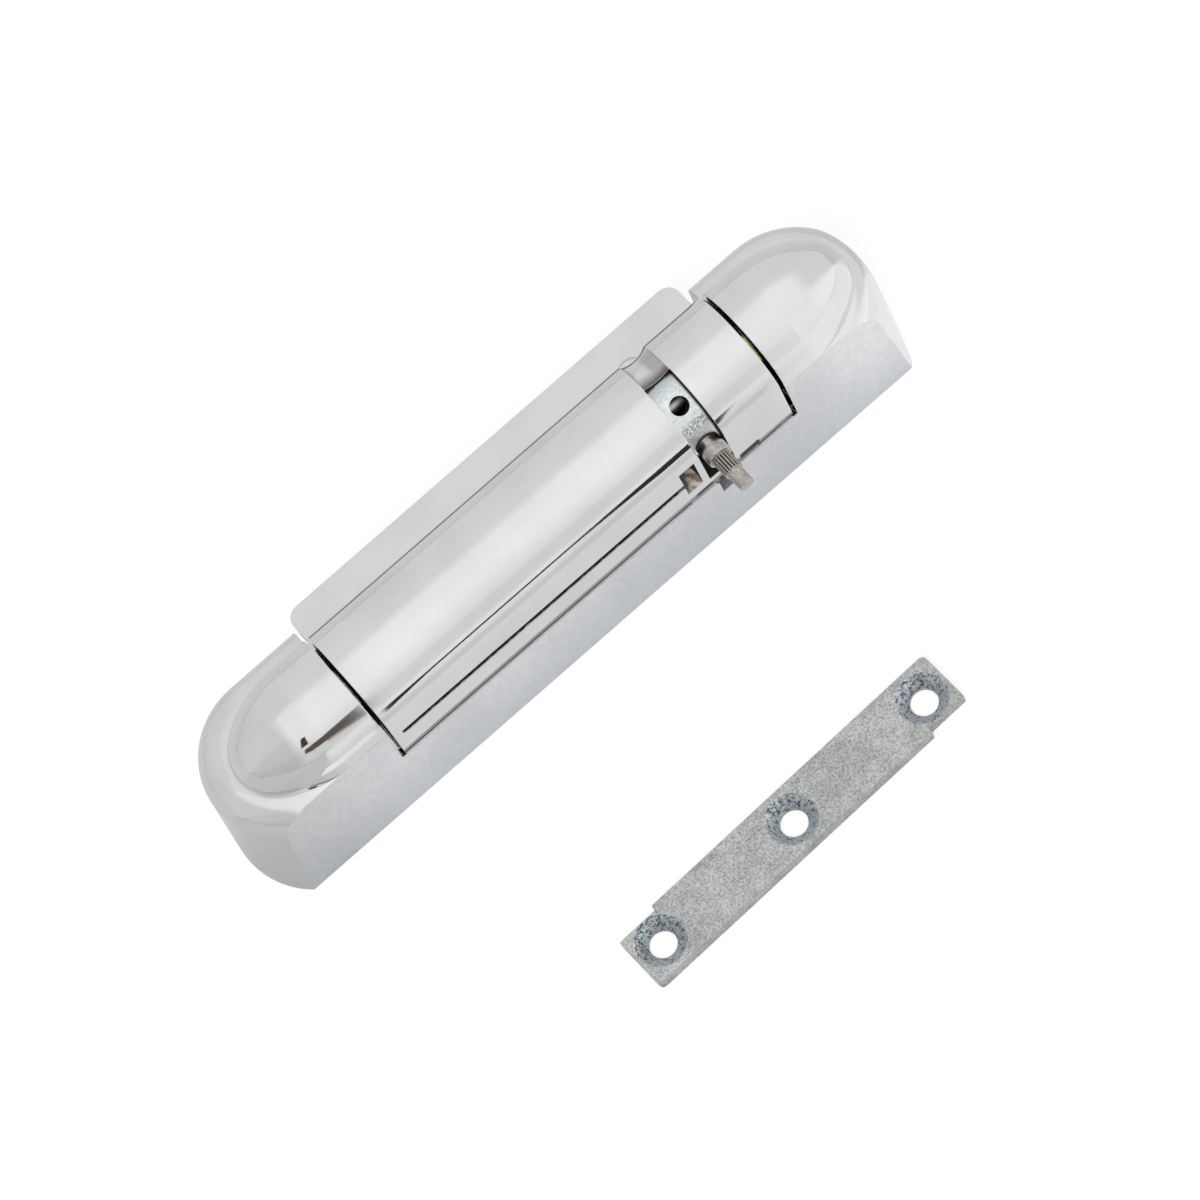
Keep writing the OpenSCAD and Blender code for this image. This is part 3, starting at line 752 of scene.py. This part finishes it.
# the studio as metal sees it, by side: (degrees from the front horizon over the top to the back one, light)
studio = {
    "zones": [
        [  # far left
            (0, 0.55), (20, 0.57), (40, 0.63), (62, 0.64), (80, 0.70), (105, 0.71), (125, 0.70), (150, 0.69),
            (180, 0.66),
        ],
        [  # left
            (0, 0.64), (10, 0.74), (22, 0.71), (32, 0.84), (42, 0.92), (58, 0.93), (78, 0.95), (98, 0.94),
            (110, 0.90), (116, 0.74), (150, 0.72), (180, 0.71),
        ],
        [  # middle
            (0, 0.78), (10, 0.75), (21, 0.77), (25, 0.85), (36, 0.90), (42, 0.94), (54, 0.99), (70, 1.01),
            (84, 0.98), (102, 0.955), (109, 0.86), (116, 0.79), (140, 0.76), (160, 0.735), (180, 0.73),
        ],
        [  # right
            (0, 0.95), (30, 0.96), (44, 0.94), (60, 0.96), (80, 0.99), (108, 0.97), (116, 0.84), (124, 0.79),
            (150, 0.76), (180, 0.74),
        ],
        [  # far right
            (0, 1.04), (30, 1.05), (50, 0.99), (58, 0.93), (66, 0.83), (76, 0.81), (120, 0.79), (150, 0.78),
            (180, 0.77),
        ],
    ],
    "borders": [(-0.45, 0.08), (-0.05, 0.06), (0.122, 0.012), (0.67, 0.10)],  # sideways part, softness
    "lowest": 0.001,
    "brightest": 2,  # a ramp holds 1 at most, so the light is divided by this and multiplied again
    "fill": 0.62,
}


def makeWorld(look):
    world = bpy.data.worlds.new("studio")
    bpy.context.scene.world = world
    world.use_nodes = True
    tree = world.node_tree
    back = tree.nodes["Background"]
    sideways, deep, up = split(tree, put(tree, "TexCoord").outputs["Generated"])
    lifted = maths(tree, "MAXIMUM", up, look["lowest"])
    turn = maths(tree, "ARCTAN2", lifted, maths(tree, "MULTIPLY", deep, -1))
    turn = maths(tree, "DIVIDE", turn, math.pi)
    brightest = look["brightest"]
    arcs = [
        ramp(tree, turn, [(degrees / 180, light / brightest) for degrees, light in zone], smooth=False)
        for zone in look["zones"]
    ]
    gloss = arcs[0]
    for arc, (border, soft) in zip(arcs[1:], look["borders"]):
        gloss = mixColour(tree, step(tree, sideways, border - soft, border + soft), gloss, arc)
    gloss = mixColour(tree, 1.0, gloss, grey(brightest), "MULTIPLY")
    rays = put(tree, "LightPath")
    fill = mixColour(tree, rays.outputs["Is Diffuse Ray"], gloss, grey(look["fill"]))
    shown = mixColour(tree, rays.outputs["Is Camera Ray"], fill, grey(1))
    tree.links.new(shown, back.inputs["Color"])
    back.inputs["Strength"].default_value = 1


lamps = [
    {"name": "keyLamp", "place": (-0.7, -0.9, 1.5), "size": (1.2, 0.9), "watts": 16},
    {"name": "backLamp", "place": (0.8, 0.9, 1.4), "size": (1.2, 0.9), "watts": 8},
]


def makeLamps(settings):
    for lamp in settings:
        data = bpy.data.lights.new(lamp["name"], "AREA")
        data.shape = "RECTANGLE"
        data.size, data.size_y = lamp["size"]
        data.energy = lamp["watts"]
        lampObject = bpy.data.objects.new(lamp["name"], data)
        lampObject.location = lamp["place"]
        lampObject.rotation_euler = (-Vector(lamp["place"])).to_track_quat("-Z", "Y").to_euler()
        lampObject.visible_glossy = False
        bpy.context.scene.collection.objects.link(lampObject)


makeFloor(floorLook)
for name, look in cards.items():
    makeCard(name, look)
makeWorld(studio)
makeLamps(lamps)
bpy.context.scene.view_settings.view_transform = "Standard"
print("studio ready")
